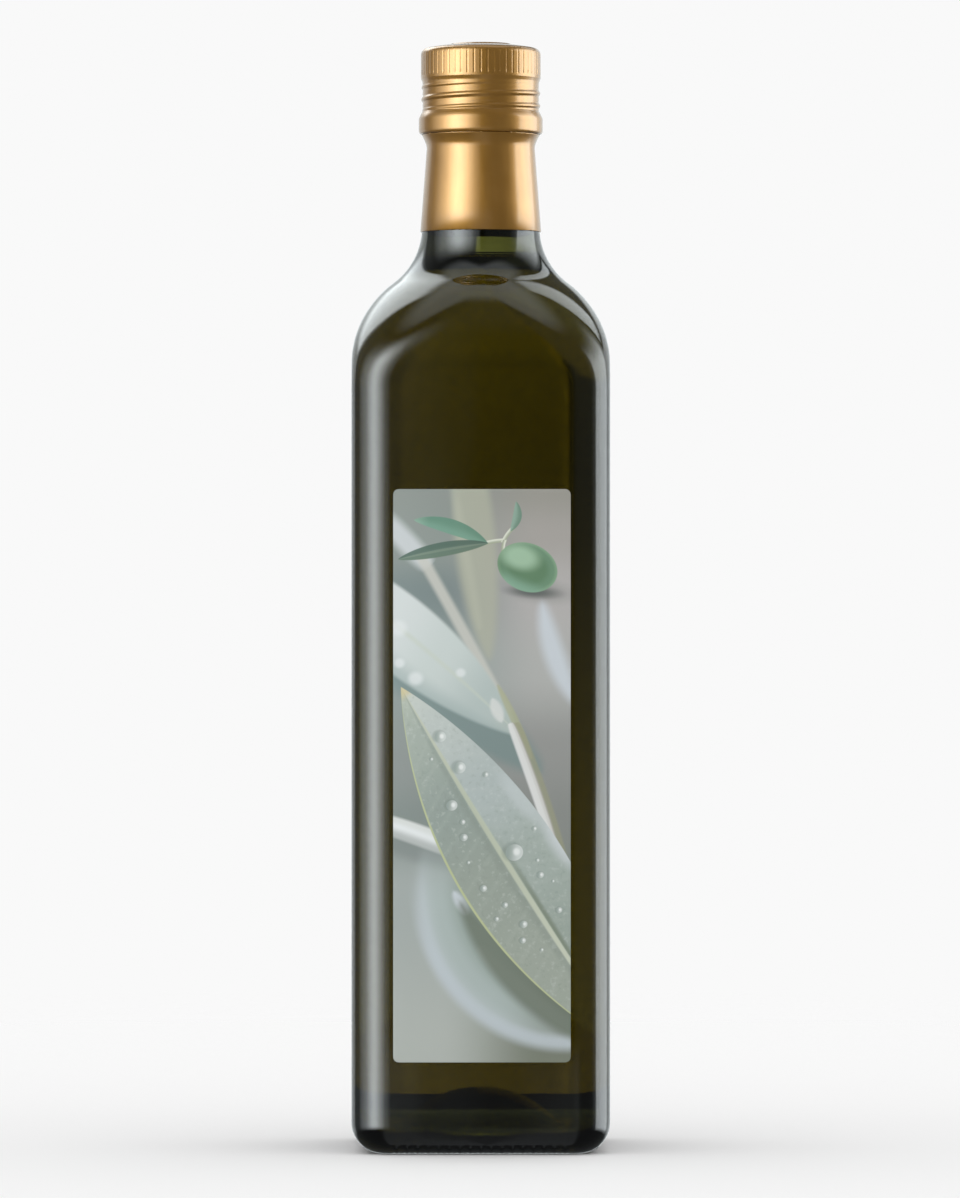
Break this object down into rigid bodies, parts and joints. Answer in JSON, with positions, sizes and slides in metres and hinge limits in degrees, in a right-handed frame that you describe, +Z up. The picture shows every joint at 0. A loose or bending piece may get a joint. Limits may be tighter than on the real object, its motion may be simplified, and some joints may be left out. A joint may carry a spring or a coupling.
{
  "type": "olive oil bottle",
  "caption": "Square dark green glass bottle filled with olive oil, with a round shoulder, a gold screw cap and sleeve and a tall plant-print label.",
  "frame": {"origin": "centre of the base, on the surface the bottle stands on", "axes": "+Z up along the bottle's axis, label on the -Y side, +X to the right as the label is read"},
  "size_m": [0.0674, 0.0675, 0.2906],
  "materials": {
    "green_glass": "dark green glass, glossy",
    "oil": "clear golden green oil",
    "gold_metal": "satin gold lacquer on thin sheet aluminium",
    "label_paper": "smooth coated paper, printed"
  },
  "bodies": {
    "root": {"glass_bottle": "green_glass", "olive_oil": "oil", "screw_cap": "gold_metal", "neck_sleeve": "gold_metal", "front_label": "label_paper"}
  },
  "joints": []
}
